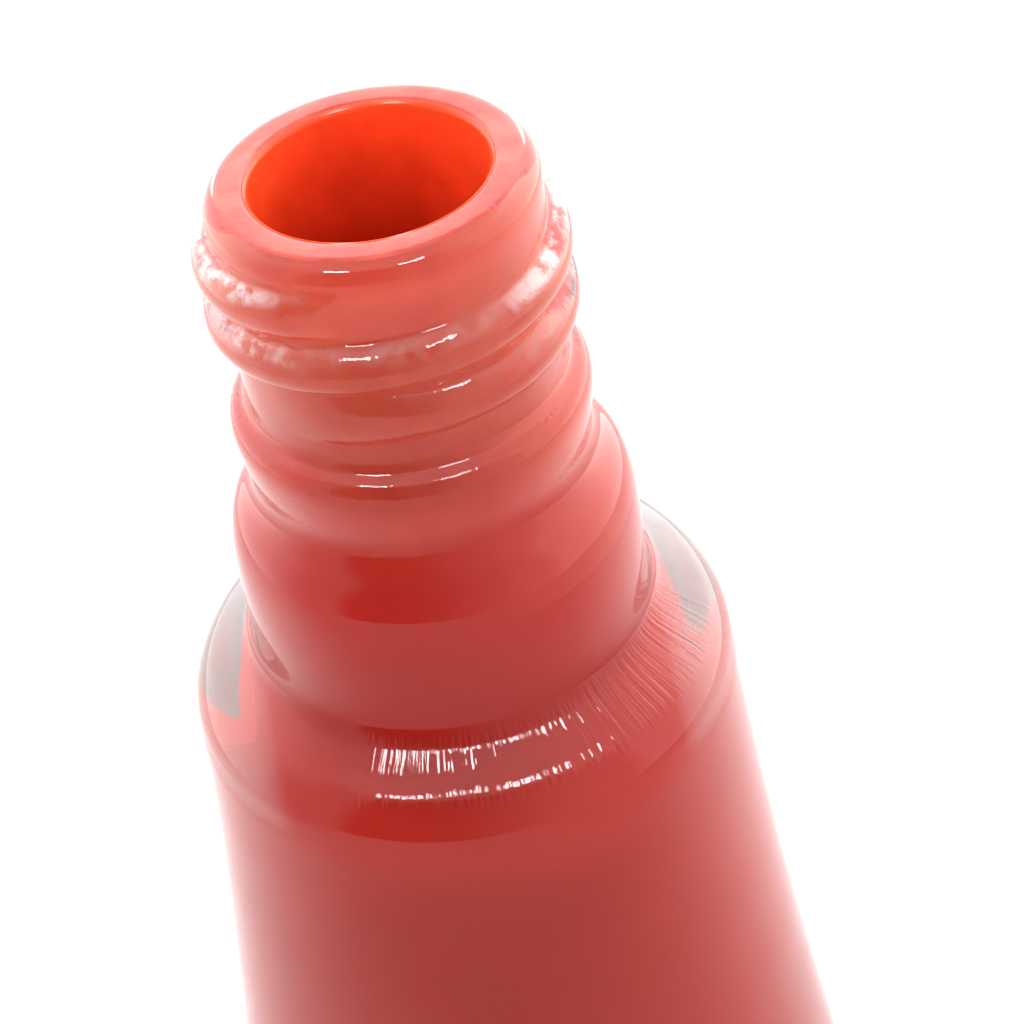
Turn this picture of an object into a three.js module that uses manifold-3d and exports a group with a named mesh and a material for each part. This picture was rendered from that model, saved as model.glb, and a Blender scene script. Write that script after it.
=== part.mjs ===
// Uncapped nail polish bottle: moulded glass with a 13 mm screw neck, the polish it holds,
// the wet coat that polish leaves in the neck, and two steel mixing balls.
// Millimetres, +Z up, origin at the centre of the standing ring.
import * as THREE from 'three';
import { mergeVertices } from 'three/addons/utils/BufferGeometryUtils.js';
import { ParametricGeometry } from 'three/addons/geometries/ParametricGeometry.js';
import Module from 'manifold-3d';

const { sin, cos, min, max, sqrt, PI } = Math;
const DEG = PI / 180;
const SEGMENTS = 40;                 // facets round every turned piece

// ---- Driving dimensions -------------------------------------------------------------------
const HEIGHT = 62;                   // standing ring to lip

// Neck finish, 13 mm across the thread
const BORE_R = 4.15;
const LIP_INNER_EDGE = 0.25;         // rounding where the bore meets the lip
const LIP_OUTER_EDGE = 0.75;         // rounding where the lip meets the neck wall
const NECK_R = 5.7;
const THREAD_R = 6.45;
const THREAD_PITCH = 2.12;           // 12 turns to the inch
const THREAD_HALF_WIDTH = 0.95;
const THREAD_ZERO_DEPTH = 5.5;       // depth of the thread's crest below the lip at +X
const THREAD_FROM = -150;            // degrees round the neck, where the lower end has run out
const THREAD_TO = 615;               // degrees, where the upper end starts
const THREAD_RUN_OUT = 100;          // degrees over which the lower end fades
const THREAD_LEAD_IN = 50;           // degrees over which the upper end rises

// Body
const BODY_TOP_Z = 40.5;
const BODY_TOP_R = 10.3;
const SHOULDER_Z = 39.8;             // where the shoulder's rounding starts
const FOOT_R = 14.75;                // the widest place
const FLARE = 1.35;                  // power of the bell curve of the body
const FOOT_EDGE = 2.4;               // rounding between the body and the standing ring
const FOOT_LEAN = 9;                 // degrees the body leans out where it meets that rounding
const RING_INNER_R = 10.2;
const PUNT_HEIGHT = 1.4;             // hollow under the base

// Cavity
const FLOOR_Z = 4.4;
const FLOOR_EDGE = 3;                // rounding between the cavity's floor and its wall
const CAVITY_TOP_Z = 34.3;           // where the cavity starts to follow the body
const WALL_TOP = 4.2;                // glass beside the cavity at the top of the body
const WALL_FOOT = 4.6;               // glass beside the cavity at the foot
const THROAT_R = 5.6;                // cavity inside the lower neck

// What the bottle holds
const FILL_Z = 45.5;                 // surface of the polish
const FIT = 0.05;                    // gap kept between touching turned pieces
const COAT = 0.25;                   // thickness of the wet coat in the neck
const COAT_TOP_Z = HEIGHT - 0.4;
const BALL_R = 2.38;                 // 3/16 inch ball
const BALL_GAP = 0.4;                // between the two balls
const BALL_HEADING = 25;             // degrees of the line through the balls
const POCKET_GAP = 0.3;              // round a ball in the polish

// ---- Outlines, as [radius, height] --------------------------------------------------------
const points = (pairs) => pairs.map(([r, z]) => new THREE.Vector2(r, z));
const steps = (count) => Array.from({ length: count + 1 }, (_, i) => i / count);

function arc(centreR, centreZ, radius, fromDeg, toDeg, count) {
  return steps(count).map((t) => {
    const angle = (fromDeg + (toDeg - fromDeg) * t) * DEG;
    return new THREE.Vector2(centreR + radius * cos(angle), centreZ + radius * sin(angle));
  });
}

function smooth(pairs, count) {
  return new THREE.SplineCurve(points(pairs)).getPoints(count);
}

const footZ = FOOT_EDGE * (1 - sin(FOOT_LEAN * DEG));

// The body widens downwards as a power of the distance below the shoulder.
function bodyRadius(z) {
  const t = (BODY_TOP_Z - z) / (BODY_TOP_Z - footZ);
  return BODY_TOP_R + (FOOT_R - BODY_TOP_R) * max(t, 0) ** FLARE;
}

function cavityRadius(z) {
  const t = (BODY_TOP_Z - z) / (BODY_TOP_Z - footZ);
  return bodyRadius(z) - WALL_TOP - (WALL_FOOT - WALL_TOP) * t;
}

function underside() {
  const punt = steps(4).map((t) => new THREE.Vector2(RING_INNER_R * t, PUNT_HEIGHT * (1 - t * t)));
  const centreR = FOOT_R - FOOT_EDGE * cos(FOOT_LEAN * DEG);
  return [...punt, ...arc(centreR, FOOT_EDGE, FOOT_EDGE, -90, -FOOT_LEAN, 5)];
}

function outside() {
  const body = steps(7).slice(1).map((t) => {
    const z = footZ + (SHOULDER_Z - footZ) * t;
    return new THREE.Vector2(bodyRadius(z), z);
  });
  const shoulder = smooth([[bodyRadius(SHOULDER_Z), SHOULDER_Z], [10.12, 40.62], [9.64, 41.37],
    [8.95, 41.97], [8.2, 42.53], [7.62, 43.22], [7.51, 43.8], [7.48, 45.2]], 13).slice(1);
  const lowerNeck = smooth([[7.45, 47], [7.35, 48], [7, 49], [6.4, 49.8], [6.17, 50.5], [6.26, 51.2],
    [6.43, 52.4], [6.42, 53.05], [6.2, 53.48], [5.86, 53.7], [NECK_R, 54.2]], 20);
  const lip = arc(NECK_R - LIP_OUTER_EDGE, HEIGHT - LIP_OUTER_EDGE, LIP_OUTER_EDGE, 0, 90, 4);
  return [...body, ...shoulder, ...lowerNeck, ...lip];
}

// The cavity's wall from its throat down to the middle of its floor.
function throat() {
  const shaped = smooth([[BORE_R, 51], [4.4, 50], [4.95, 49.1], [5.4, 48.4], [THROAT_R, 47.4]], 7);
  return [new THREE.Vector2(BORE_R, 54), ...shaped, new THREE.Vector2(THROAT_R, FILL_Z)];
}

function belly() {
  const shoulder = smooth([[THROAT_R, 42.6], [5.75, 39.8], [5.92, 38.4], [6.15, 37],
    [cavityRadius(CAVITY_TOP_Z), CAVITY_TOP_Z]], 7);
  const edgeZ = FLOOR_Z + FLOOR_EDGE;
  const wall = steps(6).slice(1).map((t) => {
    const z = CAVITY_TOP_Z + (edgeZ - CAVITY_TOP_Z) * t;
    return new THREE.Vector2(cavityRadius(z), z);
  });
  const edge = arc(cavityRadius(edgeZ) - FLOOR_EDGE, edgeZ, FLOOR_EDGE, 0, -90, 4).slice(1);
  return [...shoulder, ...wall, ...edge];
}

function boreEdge() {
  return arc(BORE_R + LIP_INNER_EDGE, HEIGHT - LIP_INNER_EDGE, LIP_INNER_EDGE, 90, 180, 2);
}

// The cavity's outline, which runs downwards, drawn in towards the axis by a distance.
function inset(outline, distance) {
  return outline.map((point, i) => {
    const before = outline[max(i - 1, 0)];
    const after = outline[min(i + 1, outline.length - 1)];
    const along = after.clone().sub(before).normalize();
    return new THREE.Vector2(point.x + along.y * distance, point.y - along.x * distance);
  });
}

// ---- Solids -------------------------------------------------------------------------------
function turned(outline) {
  const geometry = new THREE.LatheGeometry(outline, SEGMENTS);
  return geometry.rotateX(PI / 2);
}

function welded(geometry) {
  const bare = geometry.clone();
  bare.deleteAttribute('normal');
  bare.deleteAttribute('uv');
  const merged = mergeVertices(bare, 1e-4);
  const corners = merged.index.array;
  const kept = [];
  for (let i = 0; i < corners.length; i += 3) {
    const [a, b, c] = corners.slice(i, i + 3);
    if (a !== b && b !== c && c !== a) kept.push(a, b, c);
  }
  merged.setIndex(kept);
  return merged;
}

const wasm = await Module();
wasm.setup();

function solid(geometry) {
  const mesh = welded(geometry);
  return new wasm.Manifold(new wasm.Mesh({
    numProp: 3,
    vertProperties: new Float32Array(mesh.attributes.position.array),
    triVerts: new Uint32Array(mesh.index.array),
  }));
}

function geometryOf(manifold) {
  const mesh = manifold.getMesh();
  const geometry = new THREE.BufferGeometry();
  geometry.setAttribute('position', new THREE.BufferAttribute(mesh.vertProperties, 3));
  geometry.setIndex(new THREE.BufferAttribute(mesh.triVerts, 1));
  geometry.computeVertexNormals();
  return geometry;
}

// The thread is an ellipse carried up a right-hand helix, shrunk to nothing at both ends, and
// sunk half into the neck wall.
function threadGeometry() {
  const root = NECK_R - 0.1;
  const surface = (along, round, target) => {
    const heading = THREAD_FROM + (THREAD_TO - THREAD_FROM) * along;
    const rise = min((heading - THREAD_FROM) / THREAD_RUN_OUT, 1);
    const fall = min((THREAD_TO - heading) / THREAD_LEAD_IN, 1);
    const size = sqrt(max(min(rise, fall), 0));
    const z = HEIGHT - THREAD_ZERO_DEPTH + THREAD_PITCH * heading / 360;
    const r = root + (THREAD_R - root) * size * cos(round * 2 * PI);
    const lift = THREAD_HALF_WIDTH * size * sin(round * 2 * PI);
    target.set(r * cos(heading * DEG), r * sin(heading * DEG), z + lift);
  };
  return new ParametricGeometry(surface, 84, 10);
}

function ballCentre(side) {
  const reach = side * (BALL_R + BALL_GAP / 2);
  return new THREE.Vector3(reach * cos(BALL_HEADING * DEG), reach * sin(BALL_HEADING * DEG),
    FLOOR_Z + FIT + BALL_R);
}

// ---- Pieces -------------------------------------------------------------------------------
const group = new THREE.Group();

function piece(name, geometry, colour, roughness, metalness) {
  const material = new THREE.MeshStandardMaterial({ color: colour, roughness, metalness });
  const mesh = new THREE.Mesh(geometry, material);
  mesh.name = name;
  group.add(mesh);
  return mesh;
}

function glassBottle() {
  const cavity = [...boreEdge(), ...throat(), ...belly(), new THREE.Vector2(0, FLOOR_Z)];
  const blank = solid(turned([...underside(), ...outside(), ...cavity]));
  return geometryOf(blank.add(solid(threadGeometry())));
}

function polishFill() {
  const cavity = [new THREE.Vector2(THROAT_R, FILL_Z), ...belly(), new THREE.Vector2(0, FLOOR_Z)];
  const wall = inset(cavity, FIT);
  wall[0].y = FILL_Z;
  wall[wall.length - 1].x = 0;
  const outline = [new THREE.Vector2(0, FILL_Z), ...wall].reverse();
  const pocket = (side) => {
    const centre = ballCentre(side);
    const sphere = new THREE.SphereGeometry(BALL_R + POCKET_GAP, 20, 14);
    return solid(sphere.rotateX(PI / 2).translate(centre.x, centre.y, centre.z));
  };
  return geometryOf(solid(turned(outline)).subtract(pocket(-1)).subtract(pocket(1)));
}

function neckCoat() {
  const wall = [new THREE.Vector2(BORE_R, COAT_TOP_Z), ...throat()];
  wall[wall.length - 1].y = FILL_Z + FIT;
  const outer = inset(wall, FIT).reverse();
  const inner = inset(wall, FIT + COAT);
  return turned([...outer, ...inner, outer[0].clone()]);
}

piece('glass_bottle', glassBottle(), '#dfe6e6', 0.05, 0);
piece('polish_fill', polishFill(), '#c8352a', 0.25, 0);
piece('neck_coat', neckCoat(), '#e2463a', 0.25, 0);
for (const [number, side] of [[1, -1], [2, 1]]) {
  const ball = new THREE.SphereGeometry(BALL_R, 20, 14).rotateX(PI / 2);
  piece(`mixing_ball_${number}`, ball, '#b9bcc0', 0.2, 1).position.copy(ballCentre(side));
}

export default group;
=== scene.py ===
# %% [markdown]
# # A nail polish bottle with its cap off
#
# The real object is one piece of moulded glass that holds coral polish. The polish has wetted the
# neck right up to the lip, and two steel balls lie on the floor of the cavity to stir it.
# This file loads the measured frame of the bottle, stands fine smooth surfaces in for its faceted
# solids, and gives each one the finish of the real material.

# %% Load the frame
import math

import bpy
import numpy as np
from mathutils import Matrix, Quaternion, Vector


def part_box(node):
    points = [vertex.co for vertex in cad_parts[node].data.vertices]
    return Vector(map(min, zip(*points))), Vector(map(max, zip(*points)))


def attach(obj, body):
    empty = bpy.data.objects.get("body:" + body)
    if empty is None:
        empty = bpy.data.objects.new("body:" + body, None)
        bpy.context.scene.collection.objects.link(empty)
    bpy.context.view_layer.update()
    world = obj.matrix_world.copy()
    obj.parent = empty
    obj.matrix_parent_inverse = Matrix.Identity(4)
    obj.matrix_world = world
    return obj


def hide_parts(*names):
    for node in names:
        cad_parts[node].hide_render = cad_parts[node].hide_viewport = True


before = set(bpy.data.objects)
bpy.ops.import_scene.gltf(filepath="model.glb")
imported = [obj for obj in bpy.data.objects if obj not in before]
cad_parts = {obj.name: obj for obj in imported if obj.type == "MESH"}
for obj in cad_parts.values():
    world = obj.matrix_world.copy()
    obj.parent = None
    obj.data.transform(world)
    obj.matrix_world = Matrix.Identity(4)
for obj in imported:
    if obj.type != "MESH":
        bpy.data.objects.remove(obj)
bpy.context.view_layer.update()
MM = 0.001

# %% [markdown]
# ## Four small helpers
#
# Colours are picked as sRGB hex values, the way a colour picker shows them, and Blender mixes light
# in linear values, so one function turns one into the other. One function adds a shader node with
# its settings and links, and one makes a material from a few plain values. The last one turns a
# grid of points into a closed smooth mesh.


# %% Colour and node helpers
def linear(hex_colour):
    """An sRGB hex colour as linear RGBA: v/12.92 below 0.04045, else ((v+0.055)/1.055)^2.4."""
    srgb = np.array([int(hex_colour[i:i + 2], 16) for i in (1, 3, 5)]) / 255
    rgb = np.where(srgb <= 0.04045, srgb / 12.92, ((srgb + 0.055) / 1.055) ** 2.4)
    return (*rgb.tolist(), 1.0)


def add(tree, kind, inputs=(), **settings):
    """Adds one node. settings are its properties. inputs maps a socket to a value, to the output
    socket of another node, or to another node, which stands for its first output."""
    node = tree.nodes.new(kind)
    for name, value in settings.items():
        setattr(node, name, value)
    for socket, value in dict(inputs).items():
        if isinstance(value, bpy.types.Node):
            value = value.outputs[0]
        if isinstance(value, bpy.types.NodeSocket):
            tree.links.new(value, node.inputs[socket])
        else:
            node.inputs[socket].default_value = value
    return node


def new_material(name, **sockets):
    """A material whose Principled shader has these values; spaces in socket names are written _."""
    material = bpy.data.materials.new(name)
    material.use_nodes = True
    shader = material.node_tree.nodes["Principled BSDF"]
    for socket, value in sockets.items():
        shader.inputs[socket.replace("_", " ")].default_value = value
    print("material", name)
    return material, material.node_tree, shader


# %% Mesh helper
HEADINGS = 256                        # columns round every turned piece
SHARP = 55                            # degrees between two faces that make their edge a crisp one


def headings(count=HEADINGS):
    """Angles of the columns in radians, 0 at +X, anticlockwise seen from above."""
    return np.arange(count) * 2 * np.pi / count


def turned_mesh(name, radius, height, loop=False, finish=None):
    """A surface of revolution whose radius may change round the axis.

    radius and height are arrays (rows, columns) in mm. A row is one ring. Without loop, the first
    and the last ring are closed by a pole at their mean height; with loop, the last ring is joined
    to the first. Rows run so that the outside is on their right-hand side, looking along the row
    order with the axis on the left. finish gives each ring of faces its material number."""
    rows, columns = radius.shape
    angle = headings(columns)[None, :]
    grid = np.stack([radius * np.cos(angle), radius * np.sin(angle), height], axis=-1)
    index = np.arange(rows * columns).reshape(rows, columns)
    below = index if loop else index[:-1]
    above = np.roll(index, -1, axis=0) if loop else index[1:]
    quads = np.stack([below, np.roll(below, -1, 1), np.roll(above, -1, 1), above], axis=-1)
    faces = quads.reshape(-1, 4).tolist()
    points = grid.reshape(-1, 3)
    if not loop:
        first, last = len(points), len(points) + 1
        poles = [[0, 0, height[0].mean()], [0, 0, height[-1].mean()]]
        points = np.concatenate([points, poles])
        start, end = index[0], index[-1]
        faces += np.stack([np.roll(start, -1), start, np.full(columns, first)], axis=1).tolist()
        faces += np.stack([end, np.roll(end, -1), np.full(columns, last)], axis=1).tolist()
    mesh = bpy.data.meshes.new(name)
    mesh.from_pydata((points * MM).tolist(), [], faces)
    mesh.shade_smooth()
    mesh.set_sharp_from_angle(angle=math.radians(SHARP))
    if finish is not None:
        numbers = np.repeat(finish, columns)
        numbers = np.concatenate([numbers, np.full(len(faces) - len(numbers), finish[-1])])
        mesh.polygons.foreach_set("material_index", numbers.astype(np.int32))
    made = bpy.data.objects.new(name, mesh)
    bpy.context.scene.collection.objects.link(made)
    triangles = sum(len(face) - 2 for face in faces)
    print(f"{name}: {len(points)} points, {triangles} triangles")
    return made


# %% [markdown]
# ## The outline of the glass
#
# A bottle like this is blown in a mould, so every outline is soft: there are no sharp corners, only
# roundings that flow into each other. The outline is worked out from a few driving sizes. Straight
# and bell-shaped stretches are formulas, the lip and the foot are arcs, and the shoulder, the
# lower neck and the bead are one smooth spline through the few points that give their shape.

# %% Driving sizes, in mm, with height measured from the standing ring
low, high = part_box("glass_bottle")
HEIGHT = high.z / MM
FOOT_R = high.x / MM
BORE_R = 4.15
LIP_INNER_EDGE = 0.25                 # radius of the lip's inner rounding
LIP_OUTER_EDGE = 0.75
NECK_R = 5.7
NECK_Z = 54.6                         # where the straight neck starts, above the bead
BODY_TOP_Z = 40.5
BODY_TOP_R = 10.3
SHOULDER_Z = 39.8                     # where the body starts to turn in to the shoulder
FLARE = 1.35                          # power of the bell's widening
FOOT_EDGE = 2.4                       # radius of the rounding at the foot
FOOT_LEAN = math.radians(9)           # slope of the body at the foot
FOOT_Z = FOOT_EDGE * (1 - math.sin(FOOT_LEAN))
RING_INNER_R = 10.2                   # inside of the ring that it stands on
PUNT_HEIGHT = 1.4                     # of the hollow under the foot
FLOOR_Z = 4.4                         # floor of the cavity
FLOOR_EDGE = 3.0                      # radius of the floor's rounding
WALL_TOP = 4.2                        # glass thickness at the shoulder
WALL_FOOT = 4.6
THROAT_R = 5.6
PUNT_CENTRE = 0.4                     # share of the punt's radius that its innermost ring has
print(f"height {HEIGHT:.2f} mm, foot radius {FOOT_R:.2f} mm")


# %% Lines that make an outline
def straight(start, end, count):
    """count points from start to end, both included."""
    t = np.linspace(0, 1, count)[:, None]
    return np.array(start) * (1 - t) + np.array(end) * t


def arc(centre, radius, start, end, count):
    """Points centre + radius (cos a, sin a), with a from start to end in degrees."""
    a = np.radians(np.linspace(start, end, count))
    return np.array(centre) + radius * np.stack([np.cos(a), np.sin(a)], axis=1)


def spline(stations, spacing):
    """Natural cubic spline through the stations, the distance between them as its parameter.

    The second derivatives m solve h0 m0 + 2 (h0 + h1) m1 + h1 m2 = 6 (slope1 - slope0), with m = 0
    at both ends. The result has points about spacing apart."""
    p = np.array(stations, float)
    s = np.concatenate([[0], np.cumsum(np.linalg.norm(np.diff(p, axis=0), axis=1))])
    h = np.diff(s)
    slope = np.diff(p, axis=0) / h[:, None]
    system = np.eye(len(p))
    inner = np.arange(1, len(p) - 1)
    system[inner, inner - 1] = h[:-1]
    system[inner, inner] = 2 * (h[:-1] + h[1:])
    system[inner, inner + 1] = h[1:]
    right = np.zeros_like(p)
    right[1:-1] = 6 * np.diff(slope, axis=0)
    m = np.linalg.solve(system, right)
    at = np.linspace(0, s[-1], max(int(s[-1] / spacing), 2))
    k = np.clip(np.searchsorted(s, at, side="right") - 1, 0, len(h) - 1)
    a, b = (s[k + 1] - at)[:, None], (at - s[k])[:, None]
    step = h[k][:, None]
    bend = (m[k] * (a ** 3 / step - step * a) + m[k + 1] * (b ** 3 / step - step * b)) / 6
    return (p[k] * a + p[k + 1] * b) / step + bend


def joined(*lines):
    """The lines end to end, without the points that two neighbours share."""
    points = np.concatenate(lines)
    keep = np.concatenate([[True], np.linalg.norm(np.diff(points, axis=0), axis=1) > 0.004])
    return points[keep]


# %% The bell of the body, outside and inside
def bell_radius(z):
    """The body widens downwards by a power of the distance below its top."""
    t = np.clip((BODY_TOP_Z - z) / (BODY_TOP_Z - FOOT_Z), 0, None)
    return BODY_TOP_R + (FOOT_R - BODY_TOP_R) * t ** FLARE


def cavity_radius(z):
    """The cavity follows the bell, with glass that gets thicker towards the foot."""
    t = (BODY_TOP_Z - z) / (BODY_TOP_Z - FOOT_Z)
    return bell_radius(z) - WALL_TOP - (WALL_FOOT - WALL_TOP) * t


def bell_line(radius_at, start, end, count):
    """count points (radius_at(z), z) at even heights from start to end."""
    z = np.linspace(start, end, count)
    return np.stack([radius_at(z), z], axis=1)


# %% Outside of the glass, from the middle of the punt up to the bore
punt_r = np.linspace(PUNT_CENTRE, 1, 12)[:, None] * RING_INNER_R
punt = np.hstack([punt_r, PUNT_HEIGHT * (1 - (punt_r / RING_INNER_R) ** 2)])
foot_centre = (FOOT_R - FOOT_EDGE * math.cos(FOOT_LEAN), FOOT_EDGE)
foot = arc(foot_centre, FOOT_EDGE, -90, -math.degrees(FOOT_LEAN), 14)
body = bell_line(bell_radius, FOOT_Z, BODY_TOP_Z - 0.8, 40)
shoulder = [(BODY_TOP_R, SHOULDER_Z), (10.25, 40.2), (10.12, 40.62), (9.91, 41.0), (9.64, 41.37),
            (9.32, 41.69), (8.95, 41.97), (8.57, 42.25), (8.2, 42.53), (7.86, 42.83), (7.62, 43.22)]
lower_neck = [(7.51, 43.8), (7.48, 45.2), (7.45, 47), (7.35, 48), (7.0, 49), (6.4, 49.8),
              (6.17, 50.5)]
bead = [(6.26, 51.3), (6.43, 52.4), (6.42, 53.05), (6.2, 53.48), (5.86, 53.7), (5.73, 54.0),
        (NECK_R, 54.45)]
shoulder_to_neck = spline(shoulder + lower_neck + bead, 0.14)
neck = straight((NECK_R, NECK_Z), (NECK_R, HEIGHT - LIP_OUTER_EDGE), 80)
lip_centre = (NECK_R - LIP_OUTER_EDGE, HEIGHT - LIP_OUTER_EDGE)
lip = arc(lip_centre, LIP_OUTER_EDGE, 0, 90, 14)
bore_edge = arc((BORE_R + LIP_INNER_EDGE, HEIGHT - LIP_INNER_EDGE), LIP_INNER_EDGE, 90, 180, 6)
outside = joined(punt, foot, body, shoulder_to_neck, neck, lip)

# %% Cavity, from the bore down to the floor
throat = spline([(BORE_R, 52), (4.16, 51), (4.4, 50), (4.95, 49.1), (5.4, 48.4), (THROAT_R, 47.2),
                 (THROAT_R, 45.5)], 0.35)
cavity_shoulder = spline([(THROAT_R, 44), (5.6, 42.6), (5.65, 41.2), (5.75, 39.8), (5.92, 38.4),
                          (6.15, 37), (cavity_radius(35.5), 35.5), (cavity_radius(34.3), 34.3),
                          (cavity_radius(33.4), 33.4)], 0.28)
edge_z = FLOOR_Z + FLOOR_EDGE
wall = bell_line(cavity_radius, 32.6, edge_z, 22)
edge = arc((cavity_radius(edge_z) - FLOOR_EDGE, edge_z), FLOOR_EDGE, 0, -90, 10)
cavity_floor = straight(edge[-1], (3.5, FLOOR_Z), 6)
bore = straight((BORE_R, HEIGHT - 0.6), (BORE_R, 53), 7)
cavity = joined(bore, throat, cavity_shoulder, wall, edge, cavity_floor)
outline = joined(outside, bore_edge, cavity)
print(f"outline: {len(outline)} points")

# %% [markdown]
# ## The screw thread and the hand of the mould
#
# The neck is a height field: every point of its wall can be pushed outwards, square to the axis.
# So the thread isn't a separate tube that would have to be joined on, but a ridge added to the
# radius, with a round foot where it meets the wall, as molten glass gives. Mould-blown glass is
# also never quite round, and a few slow waves up to a twentieth of a millimetre deep make the
# reflections wander as they do on the real one.

# %% The thread as a ridge on the radius
THREAD_RISE = 0.75
THREAD_PITCH = 2.12                   # about 12 turns to the inch
THREAD_WIDTH = 1.02                   # half of its foot
THREAD_FILLET = 0.07                  # how soft the corner is where it meets the wall
THREAD_ARC = (THREAD_WIDTH ** 2 + THREAD_RISE ** 2) / (2 * THREAD_RISE)
THREAD_ZERO_Z = HEIGHT - 5.5          # height of the crest at +X
THREAD_FROM, THREAD_TO = -150, 615    # degrees
RUN_OUT, LEAD_IN = 100, 45            # degrees over which the ends fade


def smoothstep(x):
    """3x^2 - 2x^3 between 0 and 1."""
    x = np.clip(x, 0, 1)
    return x * x * (3 - 2 * x)


def thread_rise(angle, z):
    """Height of the ridge: for each turn an arc sqrt(R^2 - d^2) - (R - rise), with d the distance
    of z from the helix z = zero + pitch angle / 360, times the fade at both ends. Turns are joined
    by their maximum, and (h + sqrt(h^2 + fillet^2)) / 2 rounds the foot."""
    rise = np.zeros(np.broadcast(angle, z).shape)
    for turn in range(-1, 3):
        degrees = np.degrees(angle) + 360 * turn
        fade_in = smoothstep((degrees - THREAD_FROM) / RUN_OUT)
        fade_out = np.sqrt(smoothstep((THREAD_TO - degrees) / LEAD_IN))
        away = z - THREAD_ZERO_Z - THREAD_PITCH * degrees / 360
        arc_height = np.sqrt(np.maximum(THREAD_ARC ** 2 - away ** 2, 0)) - THREAD_ARC + THREAD_RISE
        rounded = (arc_height + np.sqrt(arc_height ** 2 + THREAD_FILLET ** 2)) / 2
        rise = np.maximum(rise, fade_in * fade_out * rounded)
    return rise


WAVE_DEPTH = 0.009                    # mm, of the largest of the four waves
WAVE_SUM = 2.7                        # the four amplitudes together


def mould_waves(angle, z):
    """Slow waves of the wall: the sum of four sines of heading and height. The most that they can
    add up to is taken off, so they only go inwards, by up to 0.05 mm."""
    waves = (np.sin(2 * angle + 0.7 + 0.05 * z) + 0.7 * np.sin(3 * angle - 1.1 + 0.23 * z)
             + 0.5 * np.sin(5 * angle + 2.3 - 0.41 * z) + 0.5 * np.sin(1.3 * z + 0.4 + angle))
    return WAVE_DEPTH * (waves - WAVE_SUM)


# %% The glass mesh
CLEAR, STAINED = 0, 1                 # material numbers
RIM_STAIN = 0.05                      # mm down the lip's roundings that the dried film reaches
ring_r = np.repeat(outline[:, :1], HEADINGS, axis=1)
ring_z = np.repeat(outline[:, 1:], HEADINGS, axis=1)
around = headings()[None, :]
is_outside = (np.arange(len(outline)) < len(outside))[:, None]
on_wall = is_outside & (ring_z > FOOT_EDGE) & (ring_z < HEIGHT - LIP_OUTER_EDGE)
wave_fade = smoothstep((ring_z - FOOT_EDGE) / 6) * smoothstep((HEIGHT - 0.8 - ring_z) / 1.5)
ring_r = ring_r + np.where(on_wall, thread_rise(around, ring_z), 0)
ring_r = ring_r + np.where(on_wall, mould_waves(around, ring_z) * wave_fade, 0)
on_rim = outline[:, 1] > HEIGHT - RIM_STAIN
glass = turned_mesh("bottle_glass", ring_r, ring_z, finish=np.where(on_rim[:-1], STAINED, CLEAR))

# %% [markdown]
# ## The polish and its coat in the neck
#
# Polish wets glass, so there is no air between them. A ray inside the glass must meet the polish
# before it meets the cavity's wall, or the wall would shine like a mirror. So the polish is
# drawn a fiftieth of a millimetre larger than the cavity. Its free surface climbs the wall in a
# small meniscus, and above it the wall keeps a wet coat that thins out at the lip.

# %% Polish
WETTING = 0.02                        # mm the polish reaches into the glass
FILL_Z = 45.5                         # level of the polish
MENISCUS = 0.9                        # mm that its surface climbs the wall
MENISCUS_WIDTH = 0.5                  # mm over which the climb falls to a third
CENTRE_R = 0.4                        # mm, the innermost ring of the surface
COAT = 0.24                           # mm
AGAINST_GLASS, FREE = 0, 1            # material numbers


def offset(line, distance):
    """The line moved square to its direction (dr, dz), along (-dz, dr): towards the glass where a
    line runs down the cavity's wall."""
    along = np.gradient(line, axis=0)
    along = along / np.linalg.norm(along, axis=1, keepdims=True)
    return line + np.stack([-along[:, 1], along[:, 0]], axis=1) * np.reshape(distance, (-1, 1))


def as_rings(line):
    """The radius and height of a line, repeated for every heading."""
    ring = np.repeat(line[:, None, :], HEADINGS, axis=1)
    return ring[..., 0], ring[..., 1]


below_surface = cavity[cavity[:, 1] < FILL_Z + MENISCUS]
wetted = offset(below_surface, WETTING)
surface_r = np.linspace(CENTRE_R, THROAT_R + WETTING, 26)
climb = MENISCUS * np.exp((surface_r - THROAT_R) / MENISCUS_WIDTH)
free_surface = np.stack([surface_r, FILL_Z + climb], axis=1)[::-1]
polish_line = np.concatenate([wetted[::-1], free_surface])
finish = np.where(np.arange(len(polish_line) - 1) < len(wetted), AGAINST_GLASS, FREE)
polish = turned_mesh("polish", *as_rings(polish_line), finish=finish)

# %% Coat, from the inner edge of the lip down to the meniscus
THINNING = 1.2                        # mm below the lip over which the coat gets its full depth
COAT_END = 128                        # degrees round the lip's inner rounding where it stops
rim = arc((BORE_R + LIP_INNER_EDGE, HEIGHT - LIP_INNER_EDGE), LIP_INNER_EDGE, COAT_END, 180, 6)
above_surface = cavity[(cavity[:, 1] > FILL_Z - 0.6) & (cavity[:, 1] < HEIGHT - 0.7)]
coated = joined(rim, above_surface)
depth = COAT * np.clip((HEIGHT - coated[:, 1]) / THINNING, 0.08, 1) ** 0.6
outer_face = offset(coated, WETTING / 2)[::-1]
inner_face = offset(coated, -depth)
finish = np.where(np.arange(2 * len(coated)) < len(coated) - 1, AGAINST_GLASS, FREE)
coat = turned_mesh("polish_coat", *as_rings(np.concatenate([outer_face, inner_face])), loop=True,
                   finish=finish)

# %% [markdown]
# ## The mixing balls
#
# Ball bearings are the truest spheres there are, so these are spheres: rings of radius R sin(a) at
# height -R cos(a). They are stainless steel, lapped to a mirror.

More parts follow.
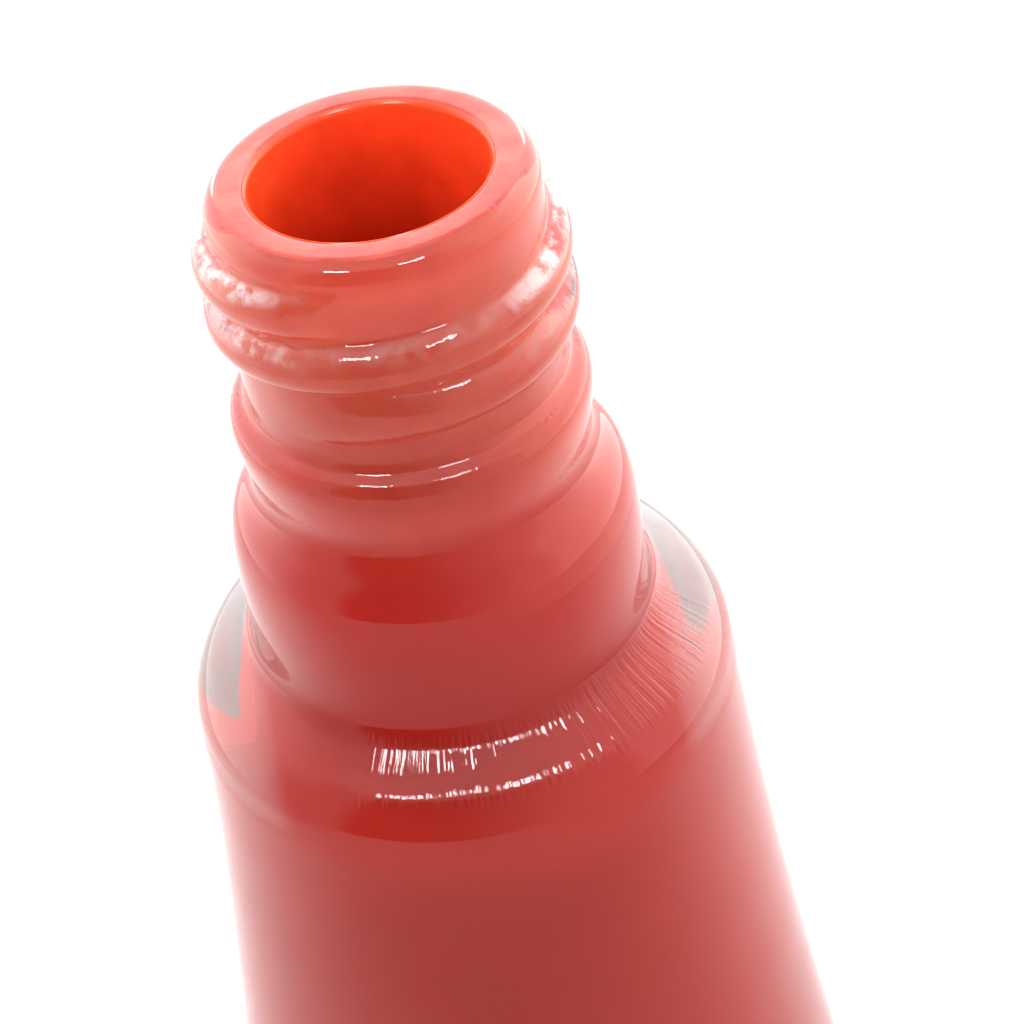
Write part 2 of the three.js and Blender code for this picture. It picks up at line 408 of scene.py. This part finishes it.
# %% Balls
def ball(name, node):
    """A sphere that fills the node's box."""
    lowest, highest = (np.array(corner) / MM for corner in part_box(node))
    centre = (lowest + highest) / 2
    radius = (highest[2] - lowest[2]) / 2
    a = np.linspace(0, np.pi, 50)[1:-1, None]
    flat = np.ones((1, 96))
    made = turned_mesh(name, radius * np.sin(a) * flat, -radius * np.cos(a) * flat)
    made.data.transform(Matrix.Translation(centre * MM))
    return made


balls = [ball(f"ball_{i}", f"mixing_ball_{i}") for i in (1, 2)]

# %% [markdown]
# ## Glass
#
# Soda-lime glass, fire-polished: the surface froze from the melt, so it is perfectly glossy, with
# an index of about 1.52. Where the mould was cooler, at the foot of the shoulder, its skin creased
# into fine lines that run up and down, and on the neck it is a little rough, like orange peel.
# Some marks are painted light. The thread's upper flanks are painted white and rough in patches
# on its two sides, a painted highlight for the light that comes through the ridges, and the
# shoulder's two sides are painted pale pink, a painted reflection of the bright room. The ring that
# it stands on is stippled and tinted a dull grey-brown. All of it is painted by the place on the
# bottle, so it needs no picture and no unwrapping.

# %% Helpers that read the place on the bottle
def place_and_axes(tree):
    """The place from Object coordinates and its X, Y and Z in metres, the heading in radians and
    the height in mm."""
    place = add(tree, "ShaderNodeTexCoord").outputs["Object"]
    axes = add(tree, "ShaderNodeSeparateXYZ", {"Vector": place}).outputs
    heading = add(tree, "ShaderNodeMath", {0: axes["Y"], 1: axes["X"]}, operation="ARCTAN2")
    height = add(tree, "ShaderNodeMath", {0: axes["Z"], 1: 1 / MM}, operation="MULTIPLY")
    return place, axes, heading, height


def band(tree, height, low, high, blend):
    """1 between two heights, fading to 0 over blend on both sides, as the product of two steps."""
    rise = add(tree, "ShaderNodeMapRange", {"Value": height, 1: low - blend, 2: low},
               interpolation_type="SMOOTHSTEP")
    fall = add(tree, "ShaderNodeMapRange", {"Value": height, 1: high, 2: high + blend, 3: 1, 4: 0},
               interpolation_type="SMOOTHSTEP")
    return add(tree, "ShaderNodeMath", {0: rise, 1: fall}, operation="MULTIPLY")


def clouded(tree, place, dark, light, size):
    """Two close colours mixed by soft noise with clouds of this size in mm: pigment that hasn't
    been stirred quite even."""
    clouds = add(tree, "ShaderNodeTexNoise",
                 {"Vector": place, "Scale": 1 / (size * MM), "Detail": 3.0})
    even = add(tree, "ShaderNodeMapRange", {"Value": clouds, 1: 0.35, 2: 0.65})
    return add(tree, "ShaderNodeMix", {0: even, 6: linear(dark), 7: linear(light)},
               data_type="RGBA").outputs[2]


# %% Painted highlights and painted pale sides of the glass
GLINT_PATCH = 0.9                             # mm across a patch of painted highlight
RIDGE_FROM, RIDGE_TO = 5.78, 5.95     # mm from the axis where the thread's ridge starts
GLINT_SIDE_FROM, GLINT_SIDE_TO = 3.3, 5.0     # mm to either side where the painted highlights start
THREAD_Z = 54.6, 61.0                 # mm, the heights between which the thread lies
FIRST_TURN_Z = 58.1, 58.7             # mm, above which lies the turn that gets most of the painted highlights
PALE_SHEEN_PATCH = 1.6                           # mm across a patch of the painted pale sheen
PALE_SIDE_FROM, PALE_SIDE_TO = 7.2, 8.8       # mm to either side where the painted pale sheen starts
PALE_SIDE_Z = 39.9, 42.6                  # mm, the heights of the painted pale sheen


def painted_glints(tree, place, axes, height):
    """Painted highlight on the thread, for the light that comes through its ridges: on the upper
    side of its ridges, in patches, most on the first turn and on the two sides. 1 is painted white
    and rough, 0 is clear."""
    flat = add(tree, "ShaderNodeCombineXYZ", {"X": axes["X"], "Y": axes["Y"]})
    radius = add(tree, "ShaderNodeVectorMath", {0: flat}, operation="LENGTH").outputs["Value"]
    ridge = add(tree, "ShaderNodeMapRange", {"Value": radius, 1: RIDGE_FROM * MM, 2: RIDGE_TO * MM})
    normal = add(tree, "ShaderNodeNewGeometry").outputs["Normal"]
    upwards = add(tree, "ShaderNodeSeparateXYZ", {"Vector": normal}).outputs["Z"]
    upper = add(tree, "ShaderNodeMapRange", {"Value": upwards, 1: 0.3, 2: 0.55})
    aside = add(tree, "ShaderNodeMath", {0: axes["X"]}, operation="ABSOLUTE")
    sides = add(tree, "ShaderNodeMapRange",
                {"Value": aside, 1: GLINT_SIDE_FROM * MM, 2: GLINT_SIDE_TO * MM, 3: 0.12})
    first_turn = add(tree, "ShaderNodeMapRange",
                     {"Value": height, 1: FIRST_TURN_Z[0], 2: FIRST_TURN_Z[1], 3: 0.3})
    glint_noise = add(tree, "ShaderNodeTexNoise", {"Vector": place, "Scale": 1 / (GLINT_PATCH * MM), "Detail": 4.0,
                                            "Roughness": 0.65})
    patches = add(tree, "ShaderNodeMapRange", {"Value": glint_noise, 1: 0.42, 2: 0.58})
    glint_mask = band(tree, height, THREAD_Z[0], THREAD_Z[1], 0.3)
    for share in (ridge, upper, patches, sides, first_turn):
        glint_mask = add(tree, "ShaderNodeMath", {0: glint_mask, 1: share}, operation="MULTIPLY")
    return glint_mask


def painted_pale_sides(tree, place, axes, height):
    """A painted reflection on the shoulder's two sides, for the bright room that they mirror: pale,
    with a trace of lacquer colour in it."""
    aside = add(tree, "ShaderNodeMath", {0: axes["X"]}, operation="ABSOLUTE")
    sides = add(tree, "ShaderNodeMapRange", {"Value": aside, 1: PALE_SIDE_FROM * MM, 2: PALE_SIDE_TO * MM})
    sheen_noise = add(tree, "ShaderNodeTexNoise",
                 {"Vector": place, "Scale": 1 / (PALE_SHEEN_PATCH * MM), "Detail": 3.0})
    uneven = add(tree, "ShaderNodeMapRange", {"Value": sheen_noise, 1: 0.3, 2: 0.6, 3: 0.6})
    pale_sheen = band(tree, height, PALE_SIDE_Z[0], PALE_SIDE_Z[1], 0.8)
    for share in (sides, uneven):
        pale_sheen = add(tree, "ShaderNodeMath", {0: pale_sheen, 1: share}, operation="MULTIPLY")
    return pale_sheen


# %% Relief of the glass: chill creases and ripple on the shoulder, pits on the neck
SHOULDER_R = 8.4                      # mm, about the middle of the shoulder
CREASE_SPACING = 0.2                  # mm round the shoulder
CREASE_LENGTH = 2.4                   # mm
CREASE_DEPTH = 0.045                  # mm
RIPPLE_LENGTH = 0.55                  # mm up the shoulder
RIPPLE_TURN = 2.5                     # ripples for each radian round it
CHILLED_Z = 41.6, 42.9                # mm, the heights between which the skin is chilled
RIPPLE_DEPTH = 0.03                   # mm
COLD_SIDE = math.radians(-68)         # heading of the side where the mould was coolest
PITTED_Z = 50.5, 61.0                 # mm, the heights between which the neck is rough
GRAIN = 0.16                          # mm between the pits of the neck's rougher skin
GRAIN_DEPTH = 0.009                   # mm


def chilled_skin(tree, place, heading, height):
    """A normal bent by three bumps, one on top of the other: the ripple, the creases and the pits.
    The first two fade with the cosine of the heading from the cold side."""
    turned = add(tree, "ShaderNodeMath", {0: heading, 1: COLD_SIDE}, operation="SUBTRACT")
    facing = add(tree, "ShaderNodeMath", {0: turned}, operation="COSINE")
    cold = add(tree, "ShaderNodeMapRange", {"Value": facing, 1: 0.45, 2: 0.7})
    chilled = add(tree, "ShaderNodeMath",
                  {0: cold, 1: band(tree, height, CHILLED_Z[0], CHILLED_Z[1], 0.4)},
                  operation="MULTIPLY")
    unrolled = add(tree, "ShaderNodeCombineXYZ", {"X": heading, "Y": height})
    up = add(tree, "ShaderNodeVectorMath", {0: unrolled, 1: (RIPPLE_TURN, 1 / RIPPLE_LENGTH, 0)},
             operation="MULTIPLY")
    ripple = add(tree, "ShaderNodeTexNoise", {"Vector": up, "Scale": 1.0, "Detail": 0.0},
                 noise_dimensions="2D")
    ripple = add(tree, "ShaderNodeMath", {0: ripple, 1: chilled}, operation="MULTIPLY")
    rippled = add(tree, "ShaderNodeBump", {"Height": ripple, "Strength": 1.0,
                                           "Distance": RIPPLE_DEPTH * MM})
    around = add(tree, "ShaderNodeVectorMath",
                 {0: unrolled, 1: (SHOULDER_R / CREASE_SPACING, 1 / CREASE_LENGTH, 0)},
                 operation="MULTIPLY")
    creases = add(tree, "ShaderNodeTexNoise", {"Vector": around, "Scale": 1.0, "Detail": 1.0},
                  noise_dimensions="2D")
    creases = add(tree, "ShaderNodeMath", {0: creases, 1: chilled}, operation="MULTIPLY")
    creased = add(tree, "ShaderNodeBump", {"Height": creases, "Strength": 1.0,
                                           "Distance": CREASE_DEPTH * MM, "Normal": rippled})
    pits = add(tree, "ShaderNodeTexNoise",
               {"Vector": place, "Scale": 1 / (GRAIN * MM), "Detail": 1.0})
    on_neck = band(tree, height, PITTED_Z[0], PITTED_Z[1], 0.6)
    pits = add(tree, "ShaderNodeMath", {0: pits, 1: on_neck}, operation="MULTIPLY")
    return add(tree, "ShaderNodeBump", {"Height": pits, "Strength": 1.0,
                                        "Distance": GRAIN_DEPTH * MM, "Normal": creased}).outputs[0]


# %% Glass material
GLINT_ROUGH = 0.35                    # roughness of a patch of painted highlight
GLINT_WHITE = 0.6                     # share of the light that a patch of painted highlight scatters
PALE_SHEEN_WHITE = 0.28                    # share of the light that the painted pale sheen scatters
STIPPLED = 0.6                        # roughness of the ring it stands on, stippled by the mould
STANDING_Z = 0.3, 0.1                 # mm, the heights between which the stipple starts


def fire_polished_glass():
    """Clear glass. Its painted highlights and painted pale sides take some of the light from the
    transmission and scatter it.
    """
    material, tree, shader = new_material("soda_lime_glass_fire_polished", IOR=1.52)
    place, axes, heading, height = place_and_axes(tree)
    tree.links.new(chilled_skin(tree, place, heading, height), shader.inputs["Normal"])
    # Painted highlight: white, rough patches on the thread where light comes through its ridges.
    glint_mask = painted_glints(tree, place, axes, height)
    standing = add(tree, "ShaderNodeMapRange",
                   {"Value": height, 1: STANDING_Z[0], 2: STANDING_Z[1]})
    stippled = add(tree, "ShaderNodeMath", {0: standing, 1: STIPPLED}, operation="MULTIPLY")
    rough = add(tree, "ShaderNodeMath", {0: glint_mask, 1: GLINT_ROUGH, 2: stippled},
                operation="MULTIPLY_ADD")
    tree.links.new(rough.outputs[0], shader.inputs["Roughness"])
    # Painted reflection: the shoulder's two sides are painted pale pink, for the bright room they
    # mirror.
    pale_sheen = painted_pale_sides(tree, place, axes, height)
    pale = add(tree, "ShaderNodeMath", {0: pale_sheen, 1: PALE_SHEEN_WHITE}, operation="MULTIPLY")
    white = add(tree, "ShaderNodeMath", {0: glint_mask, 1: GLINT_WHITE, 2: pale},
                operation="MULTIPLY_ADD")
    clear = add(tree, "ShaderNodeMath", {0: 1.0, 1: white}, operation="SUBTRACT")
    tree.links.new(clear.outputs[0], shader.inputs["Transmission Weight"])
    tint = add(tree, "ShaderNodeMix", {0: pale_sheen, 6: linear("#FFFFFF"), 7: linear("#E9BDB6")},
               data_type="RGBA").outputs[2]
    # The ring that it stands on is tinted a dull grey-brown, darker than the glass above it.
    ring_tint = add(tree, "ShaderNodeMix", {0: standing, 6: tint, 7: linear("#987975")},
                 data_type="RGBA").outputs[2]
    tree.links.new(ring_tint, shader.inputs["Base Color"])
    return material


glass.data.materials.append(fire_polished_glass())

# %% [markdown]
# ## The stained lip
#
# The brush is wiped off on the lip, so a film of polish has dried on its flat top. Light still gets
# into the glass under it, but most of what comes back is the film's own salmon colour. The film is
# a little lumpy and dries glossy.

# %% Stained lip
FILM_CLOUD = 2.381                    # mm across a thicker place of the film
LUMP = 0.7                            # mm between lumps of dried film
LUMP_DEPTH = 0.035                    # mm


def stained_rim():
    """Glass under a dried film of polish that lets a fifth of the light through."""
    material, tree, shader = new_material(
        "soda_lime_glass_stained_by_lacquer", Roughness=0.1, IOR=1.5, Transmission_Weight=0.2)
    place = add(tree, "ShaderNodeTexCoord").outputs["Object"]
    film = clouded(tree, place, "#C23E30", "#D85A4A", FILM_CLOUD)
    tree.links.new(film, shader.inputs["Base Color"])
    lumps = add(tree, "ShaderNodeTexNoise",
                {"Vector": place, "Scale": 1 / (LUMP * MM), "Detail": 2.0})
    bump = add(tree, "ShaderNodeBump",
               {"Height": lumps, "Strength": 1.0, "Distance": LUMP_DEPTH * MM})
    tree.links.new(bump.outputs[0], shader.inputs["Normal"])
    return material


glass.data.materials.append(stained_rim())

# %% [markdown]
# ## Polish
#
# Nitrocellulose lacquer with a cream pigment: an opaque coral red. Where it lies against the glass
# there is no air, so that side has no gloss of its own. The free surface in the neck is wet and
# glossy.

# %% Polish materials
PAINTED_LIGHT_NECK_LACQUER = "#E03D34"              # painted lighter than the polish below: painted light on the lower neck
PIGMENT_CLOUD = 11.11                 # mm across a paler place of the polish
PAINTED_LIGHT_Z = 36.0, 46.0                 # mm, the heights over which the painted light comes in


def lacquer(name, **sockets):
    """Opaque polish, painted lighter in the lower neck: painted light for the brighter neck."""
    material, tree, shader = new_material(name, **sockets)
    place, _, _, height = place_and_axes(tree)
    painted_light = add(tree, "ShaderNodeMapRange", {"Value": height, 1: PAINTED_LIGHT_Z[0], 2: PAINTED_LIGHT_Z[1]},
                 interpolation_type="SMOOTHSTEP")
    below = clouded(tree, place, "#CB362C", "#D33C32", PIGMENT_CLOUD)
    colour = add(tree, "ShaderNodeMix", {0: painted_light, 6: below, 7: linear(PAINTED_LIGHT_NECK_LACQUER)},
                 data_type="RGBA").outputs[2]
    tree.links.new(colour, shader.inputs["Base Color"])
    return material


polish.data.materials.append(lacquer("nail_lacquer_against_glass", Roughness=0.7,
                                     Specular_IOR_Level=0.0))
polish.data.materials.append(lacquer("nail_lacquer_free_surface", Roughness=0.2, IOR=1.48))

# %% [markdown]
# ## The coat in the neck
#
# The same lacquer, but only a quarter of a millimetre of it: thin enough for light to come through,
# so it glows orange. Red light gets furthest in it, which the subsurface radius says. It has run
# down unevenly, and it is thinnest near the lip. Towards +X it is painted lighter, painted light
# for the glow through that side of the neck, and its wet face is painted darker down the bore,
# painted shade as well as a deeper coat.

# %% Coat materials
REACH = 0.0007                        # metres that red light gets into the coat
GLOW_SIDE_FROM = 1.5                      # mm towards +X, where the painted glow of that side starts
RUN = 2.2                             # mm across a thick or thin place of the coat
THICKEST, THINNEST = 0.72, 1.18       # what the runs multiply the thinning by
GLOW = 0.75                           # share of the light that comes through where it is thinnest


def lacquer_coat(name, low, high, deep, thin, glow_side, **sockets):
    """A coat a quarter of a millimetre deep. Between two heights in mm it gets thinner upwards: its
    colour goes from deep to thin, and more of the light comes through. Towards +X it is painted
    lighter and lets more light through, by the share given after the colours: painted light for
    the glow that shines through that side of the neck."""
    material, tree, shader = new_material(
        name, Subsurface_Radius=(1.0, 0.16, 0.05), Subsurface_Scale=REACH, **sockets)
    place, axes, _, height = place_and_axes(tree)
    # Painted light: towards +X the coat is painted lighter and more translucent, for the glow
    # there.
    glow_side_mask = add(tree, "ShaderNodeMapRange", {"Value": axes["X"], 1: GLOW_SIDE_FROM * MM,
                                             2: BORE_R * MM, 4: glow_side})
    upwards = add(tree, "ShaderNodeMapRange", {"Value": height, 1: low, 2: high})
    both = add(tree, "ShaderNodeMath", {0: upwards, 1: glow_side_mask}, operation="ADD")
    runs = add(tree, "ShaderNodeTexNoise",
               {"Vector": place, "Scale": 1 / (RUN * MM), "Detail": 3.0})
    uneven = add(tree, "ShaderNodeMapRange",
                 {"Value": runs, 1: 0.3, 2: 0.7, 3: THICKEST, 4: THINNEST})
    thinness_and_glow = add(tree, "ShaderNodeMath", {0: both, 1: uneven}, operation="MULTIPLY",
                  use_clamp=True)
    colour = add(tree, "ShaderNodeMix", {0: thinness_and_glow, 6: linear(deep), 7: linear(thin)},
                 data_type="RGBA").outputs[2]
    tree.links.new(colour, shader.inputs["Base Color"])
    through = add(tree, "ShaderNodeMath", {0: thinness_and_glow, 1: GLOW}, operation="MULTIPLY")
    tree.links.new(through.outputs[0], shader.inputs["Subsurface Weight"])
    return material


# 0.3 here and 0.9 below are the shares by which the +X side is painted lighter: painted light.
coat.data.materials.append(lacquer_coat("nail_lacquer_coat_against_glass", 48.0, 57.5, PAINTED_LIGHT_NECK_LACQUER,
                                        "#FF7A64", 0.3, Roughness=0.7, Specular_IOR_Level=0.0))
# The wet face's deep colour is darker than the lacquer: painted shade down the bore, and a deeper
# coat.
coat.data.materials.append(lacquer_coat("nail_lacquer_coat_wet", 56.0, 61.8, "#B11A09", "#F9582A",
                                        0.9, Roughness=0.22, IOR=1.48))

# %% [markdown]
# ## Steel
#
# The balls are stainless steel, tumbled and lapped to a mirror. Lapping leaves no direction, only
# a faint unevenness of the shine, so the noise goes into the roughness and there is no bump.

# %% Steel
SHEEN = 1.111                         # mm across a duller place of the steel


def lapped_steel():
    """A metal with its roughness between 0.08 and 0.3, in soft clouds."""
    material, tree, shader = new_material("stainless_steel_lapped", Metallic=1.0,
                                          Base_Color=linear("#C3C5C8"))
    place = add(tree, "ShaderNodeTexCoord").outputs["Object"]
    sheen = add(tree, "ShaderNodeTexNoise",
                {"Vector": place, "Scale": 1 / (SHEEN * MM), "Detail": 4.0})
    rough = add(tree, "ShaderNodeMapRange", {"Value": sheen, 3: 0.08, 4: 0.3})
    tree.links.new(rough.outputs[0], shader.inputs["Roughness"])
    return material


steel = lapped_steel()
for made in balls:
    made.data.materials.append(steel)

# %% [markdown]
# ## The table
#
# A laminate table top, white behind the bottle and painted grey in front of it: painted shade for
# the shadow that the bottle casts forward and the dim front of the room. The white half makes a
# clean ground, and the grey half is what the front of the glass mirrors, so its colour stays deep.

# %% Table
TABLE_R = 170
TABLE_DROP = 0.02                     # mm, so that no face of the table lies in one of the glass
PAINTED_SHADE_Y, WHITE_Y = -48, 38             # mm in front of the axis, where the painted shade is full, and behind it, where it is gone


def disc(name, radius, rings=24, columns=96):
    """A flat disc a hair below height 0: rings at equal distances from the middle."""
    r = np.linspace(radius / rings, radius, rings)[:, None] * np.ones((1, columns))
    angle = headings(columns)[None, :]
    points = np.stack([r * np.cos(angle), r * np.sin(angle), 0 * r - TABLE_DROP], axis=-1)
    points = np.concatenate([points.reshape(-1, 3), [[0, 0, -TABLE_DROP]]])
    index = np.arange(rings * columns).reshape(rings, columns)
    inner, outer = index[:-1], index[1:]
    quads = np.stack([inner, outer, np.roll(outer, -1, 1), np.roll(inner, -1, 1)], axis=-1)
    centre = np.full(columns, rings * columns)
    middle = np.stack([centre, index[0], np.roll(index[0], -1)], axis=1)
    mesh = bpy.data.meshes.new(name)
    mesh.from_pydata((points * MM).tolist(), [], quads.reshape(-1, 4).tolist() + middle.tolist())
    made = bpy.data.objects.new(name, mesh)
    bpy.context.scene.collection.objects.link(made)
    print(f"{name}: {2 * radius} mm across")
    return made


def painted_shade_laminate():
    """Painted shade: grey in front, white behind, smooth between."""
    material, tree, shader = new_material("table_laminate_painted_shade", Roughness=0.6)
    place = add(tree, "ShaderNodeTexCoord").outputs["Object"]
    behind = add(tree, "ShaderNodeSeparateXYZ", {"Vector": place}).outputs["Y"]
    shade_fade = add(tree, "ShaderNodeMapRange", {"Value": behind, 1: PAINTED_SHADE_Y * MM, 2: WHITE_Y * MM},
                    interpolation_type="SMOOTHSTEP")
    # Painted shade: the table is grey in front of the bottle.
    colour = add(tree, "ShaderNodeMix", {0: shade_fade, 6: linear("#9C9B9A"), 7: linear("#F4F4F3")},
                 data_type="RGBA").outputs[2]
    tree.links.new(colour, shader.inputs["Base Color"])
    return material


table = disc("table", TABLE_R)
table.data.materials.append(painted_shade_laminate())

# %% [markdown]
# ## The surround
#
# A bright white room, brightest behind the bottle, with a dim part in front, which gives the glass
# its darker middle. The strength is a smooth function of the direction: it rises from front to
# back, leans to the right, and has its own value overhead. The camera itself sees plain white.

# %% Surround
FRONT, SIDE, BACK, TOP = 0.05, 0.7, 2.85, 1.16
LEFT, RIGHT = -0.1, 0.65              # added on either side
world = bpy.data.worlds.new("white_surround")
bpy.context.scene.world = world
world.use_nodes = True
sky = world.node_tree
sky.nodes.clear()
direction = add(sky, "ShaderNodeTexCoord").outputs["Generated"]
towards = add(sky, "ShaderNodeSeparateXYZ", {"Vector": direction}).outputs
beside = add(sky, "ShaderNodeMapRange",
             {"Value": towards["Y"], 1: -0.62, 2: -0.42, 3: FRONT, 4: SIDE},
             interpolation_type="SMOOTHSTEP")
behind = add(sky, "ShaderNodeMapRange", {"Value": towards["Y"], 1: -0.3, 2: 0.6, 4: BACK - SIDE},
             interpolation_type="SMOOTHSTEP")
lean = add(sky, "ShaderNodeMapRange", {"Value": towards["X"], 1: -0.5, 2: 0.75, 3: LEFT, 4: RIGHT},
           interpolation_type="SMOOTHSTEP")
overhead = add(sky, "ShaderNodeMapRange", {"Value": towards["Z"], 1: 0.66, 2: 0.80},
               interpolation_type="SMOOTHSTEP")
around_it = add(sky, "ShaderNodeMath", {0: beside, 1: behind}, operation="ADD")
leaning = add(sky, "ShaderNodeMath", {0: around_it, 1: lean}, operation="ADD")
glow = add(sky, "ShaderNodeMix", {0: overhead, 2: leaning, 3: TOP})
seen = add(sky, "ShaderNodeLightPath").outputs["Is Camera Ray"]
strength = add(sky, "ShaderNodeMix", {0: seen, 2: glow, 3: 1.0})
background = add(sky, "ShaderNodeBackground", {"Color": linear("#FFFFFF"), "Strength": strength})
add(sky, "ShaderNodeOutputWorld", {"Surface": background})
print("surround from", FRONT, "in front to", BACK, "behind")

# %% [markdown]
# ## Lamps
#
# Two small area lamps stand high in front, to the left and to the right. Each ridge of the glass
# mirrors both, which makes the pairs of short bright glints.


# %% Lamps
def lamp(name, azimuth, elevation, distance, width, height, power, aim=HEIGHT - 12):
    """An area lamp that looks at a height on the axis. Azimuth 0 is in front, positive to the
    right. It isn't seen itself, only by its light and in reflections."""
    data = bpy.data.lights.new(name, "AREA")
    data.shape = "RECTANGLE"
    data.size = width * MM
    data.size_y = height * MM
    data.energy = power
    made = bpy.data.objects.new(name, data)
    a, e = math.radians(azimuth), math.radians(elevation)
    away = Vector((math.sin(a) * math.cos(e), -math.cos(a) * math.cos(e), math.sin(e)))
    made.location = Vector((0, 0, aim * MM)) + away * distance * MM
    made.rotation_euler = away.to_track_quat("Z", "Y").to_euler()
    made.visible_camera = False
    bpy.context.scene.collection.objects.link(made)
    print(f"{name}: {power} W at {distance} mm")
    return made


lamp("lamp_left", -40, 50, 350, 80, 35, 0.27)
lamp("lamp_right", 20, 51, 350, 80, 35, 0.27)

# %% [markdown]
# ## Camera
#
# The camera stands close in front and looks down on the mouth, so the neck is large and the body
# runs out of the picture. It is placed from the middle of the mouth, and rolled a little.

# %% Camera
CAMERA_FRONT = 77.5                   # mm in front of the bottle's axis
CAMERA_ABOVE_LIP = 48.9
AIM = (2.76, -0.1, -15.6)             # the point looked at, from the middle of the mouth
LENS = 96.7                           # mm on a 36 mm wide sensor
ROLL = math.radians(-9.8)
camera_data = bpy.data.cameras.new("camera")
camera_data.lens = LENS
camera_data.sensor_width = 36
camera_data.clip_start = 0.005
camera = bpy.data.objects.new("camera", camera_data)
mouth = Vector((0, 0, HEIGHT))
camera.location = (mouth + Vector((0, -CAMERA_FRONT, CAMERA_ABOVE_LIP))) * MM
looks = (mouth + Vector(AIM)) * MM - camera.location
camera.rotation_mode = "QUATERNION"
camera.rotation_quaternion = looks.to_track_quat("-Z", "Y") @ Quaternion((0, 0, 1), ROLL)
bpy.context.scene.collection.objects.link(camera)
bpy.context.scene.camera = camera
bpy.context.scene.view_settings.view_transform = "Standard"
print("camera at", [round(x, 4) for x in camera.location])

# %% [markdown]
# ## Which piece stands for what
#
# Each fine surface stands in for one faceted solid of the frame, and moves with that solid's body.

for made, body_name, node, slot in (
        (glass, "bottle", "glass_bottle", "glass"),
        (polish, "bottle", "polish_fill", "polish"),
        (coat, "bottle", "neck_coat", "polish_coat"),
        (balls[0], "ball_1", "mixing_ball_1", "steel"),
        (balls[1], "ball_2", "mixing_ball_2", "steel")):
    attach(made, body_name)
    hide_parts(node)
